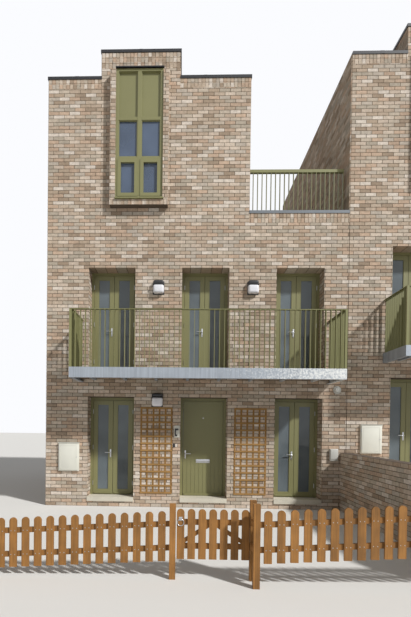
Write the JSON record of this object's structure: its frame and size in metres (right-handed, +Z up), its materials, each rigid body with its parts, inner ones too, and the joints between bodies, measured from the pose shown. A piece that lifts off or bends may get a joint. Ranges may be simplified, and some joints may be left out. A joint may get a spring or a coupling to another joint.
{
  "type": "terraced house row",
  "caption": "Stepped row of modern brick terraced houses with flat roofs, balconies, roof terraces, glazed and boarded doors that open, trellises and a picket fence with a gate.",
  "frame": {"origin": "middle of the row's front wall, at the lowest ground level", "axes": "+X along the front to the right as seen from the street, +Y into the houses, +Z up"},
  "size_m": [12.668, 10.488, 10.05],
  "materials": {
    "brick": "matte",
    "concrete": "matte",
    "sill_stone": "matte",
    "dark_metal": "satin",
    "pale_metal": "satin",
    "painted_wood": "satin",
    "satin_steel": "satin",
    "window_glass": "gloss",
    "galvanised_steel": "satin",
    "decking": "matte",
    "green_steel": "satin",
    "opal_plastic": "satin",
    "cream_plastic": "matte",
    "grey_plastic": "matte",
    "timber": "matte"
  },
  "bodies": {
    "house_row": {"base_wall": "brick", "front_piers": "brick", "front_bands": "brick", "back_walls": "brick", "third_storey_front_walls": "brick", "third_storey_back_walls": "brick", "terrace_side_walls": "brick", "left_end_wall": "brick", "party_wall": "brick", "right_party_wall": "brick", "bay_upper_walls": "brick", "terrace_parapets": "brick", "bay_surrounds": "brick", "garden_wall": "brick", "floor_slabs": "concrete", "roof_slabs": "concrete", "door_thresholds": "sill_stone", "parapet_copings": "dark_metal", "terrace_copings": "pale_metal", "door_frame_jambs": "painted_wood", "door_frame_heads": "painted_wood", "fixed_door_leaves": "painted_wood", "window_frames": "painted_wood", "terrace_doors": "painted_wood", "fixed_door_fittings": "satin_steel", "hinges": "satin_steel", "fixed_glass": "window_glass", "balcony_channels": "galvanised_steel", "balcony_decks": "decking", "balcony_front_guards": "green_steel", "balcony_side_guards": "green_steel", "terrace_guards": "green_steel", "wall_light_housings": "dark_metal", "wall_light_shades": "opal_plastic", "meter_cabinets": "cream_plastic", "wall_fittings": "grey_plastic", "trellises": "timber", "picket_fence": "timber", "fence_posts": "timber"},
    "front_door": {"front_door": "painted_wood", "front_door_fittings": "satin_steel"},
    "gate": {"gate": "timber", "gate_latch": "satin_steel"},
    "left_pair_left": {"left_pair_left_leaf": "painted_wood", "left_pair_left_glass": "window_glass", "left_pair_lever": "satin_steel"},
    "left_pair_right": {"left_pair_right_leaf": "painted_wood", "left_pair_right_glass": "window_glass"},
    "right_pair_left": {"right_pair_left_leaf": "painted_wood", "right_pair_left_glass": "window_glass", "right_pair_lever": "satin_steel"},
    "right_pair_right": {"right_pair_right_leaf": "painted_wood", "right_pair_right_glass": "window_glass"},
    "next_house_pair_left": {"next_house_pair_left_leaf": "painted_wood", "next_house_pair_left_glass": "window_glass", "next_house_pair_lever": "satin_steel"},
    "next_house_pair_right": {"next_house_pair_right_leaf": "painted_wood", "next_house_pair_right_glass": "window_glass"}
  },
  "joints": [
    {"name": "front_door_swing", "type": "hinge", "parent": "house_row", "child": "front_door", "pos_m": [-2.538, 0.1983, 1], "axis": [0, 0, -1], "range_deg": [0, 90]},
    {"name": "gate_swing", "type": "hinge", "parent": "house_row", "child": "gate", "pos_m": [-2.667, -4.3597, 0.5], "axis": [0, 0, -1], "range_deg": [0, 90]},
    {"name": "left_pair_left_swing", "type": "hinge", "parent": "house_row", "child": "left_pair_left", "pos_m": [-5.387, 0.1117, 1.2], "axis": [0, 0, -1], "range_deg": [0, 90]},
    {"name": "left_pair_right_swing", "type": "hinge", "parent": "house_row", "child": "left_pair_right", "pos_m": [-4.513, 0.1117, 1.2], "axis": [0, 0, 1], "range_deg": [0, 90]},
    {"name": "right_pair_left_swing", "type": "hinge", "parent": "house_row", "child": "right_pair_left", "pos_m": [-1.437, 0.1117, 1.2], "axis": [0, 0, -1], "range_deg": [0, 90]},
    {"name": "right_pair_right_swing", "type": "hinge", "parent": "house_row", "child": "right_pair_right", "pos_m": [-0.563, 0.1117, 1.2], "axis": [0, 0, 1], "range_deg": [0, 90]},
    {"name": "next_house_pair_left_swing", "type": "hinge", "parent": "house_row", "child": "next_house_pair_left", "pos_m": [0.943, 0.1117, 1.65], "axis": [0, 0, -1], "range_deg": [0, 90]},
    {"name": "next_house_pair_right_swing", "type": "hinge", "parent": "house_row", "child": "next_house_pair_right", "pos_m": [1.817, 0.1117, 1.65], "axis": [0, 0, 1], "range_deg": [0, 90]}
  ]
}
